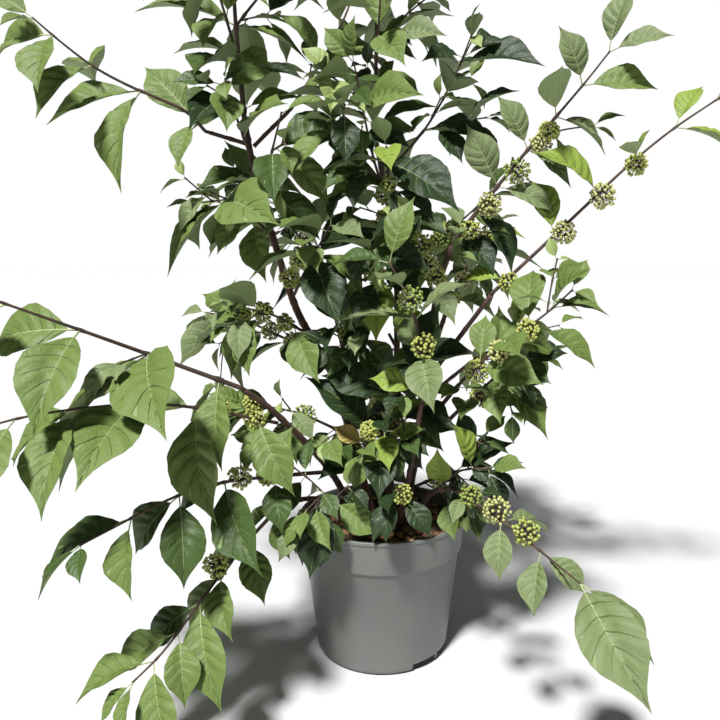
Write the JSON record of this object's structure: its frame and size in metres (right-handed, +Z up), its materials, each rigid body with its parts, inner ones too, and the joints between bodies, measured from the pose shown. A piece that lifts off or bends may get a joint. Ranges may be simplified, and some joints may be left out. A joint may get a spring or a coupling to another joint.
{
  "type": "potted beautyberry shrub",
  "caption": "Bushy many-stemmed fruiting shrub with arching leafy sprays and clusters of small unripe berries, standing in a round grower's pot.",
  "frame": {"origin": "middle of the pot's flat underside", "axes": "+Z up along the pot's axis, -Y towards the front of the plant, +X to its right as seen from the front"},
  "size_m": [0.9415, 0.8734, 1.1385],
  "materials": {
    "pot": "satin moulded grey-green plastic",
    "soil": "dark potting compost with bark chips",
    "bark": "dark purple-brown bark, dull",
    "leaf": "dull green leaves with slim brown twigs and pale green fruit"
  },
  "bodies": {
    "root": {"pot": "pot", "soil": "soil", "stem_left": "bark", "stem_middle": "bark", "stem_right": "bark", "stem_front": "bark", "stem_front_left": "bark", "stem_low_left": "bark", "stem_low_right": "bark", "stem_back_left": "bark", "stem_back_right": "bark", "stem_back_low": "bark", "bough_top_inner": "bark", "bough_left_upper": "bark", "bough_left_low": "bark", "bough_right": "bark", "bough_front_right": "bark", "bough_right_low": "bark", "bough_back_left": "bark", "bough_back_right": "bark", "spray_left": "leaf", "spray_left_middle": "leaf", "spray_left_low": "leaf", "spray_low_left": "leaf", "spray_low_right": "leaf", "spray_left_upper": "leaf", "spray_right_upper": "leaf", "spray_right": "leaf", "spray_front": "leaf", "spray_front_right": "leaf", "crown_top_left": "leaf", "crown_left_top": "leaf", "crown_top_inner": "leaf", "crown_top": "leaf", "crown_top_right": "leaf", "crown_top_front": "leaf", "crown_left_high": "leaf", "crown_left_fork": "leaf", "crown_left_middle": "leaf", "crown_left_inner": "leaf", "crown_left_back": "leaf", "crown_left_low": "leaf", "crown_middle_high": "leaf", "crown_middle": "leaf", "crown_middle_right": "leaf", "crown_left_foot": "leaf", "crown_middle_front": "leaf", "crown_middle_low": "leaf", "crown_right": "leaf", "crown_right_front": "leaf", "crown_right_middle": "leaf", "crown_right_low": "leaf", "skirt_front": "leaf", "skirt_front_right": "leaf", "skirt_left": "leaf", "back_left": "leaf", "back_right": "leaf", "back_left_arm": "leaf", "back_right_arm": "leaf", "back_low": "leaf"}
  },
  "joints": []
}
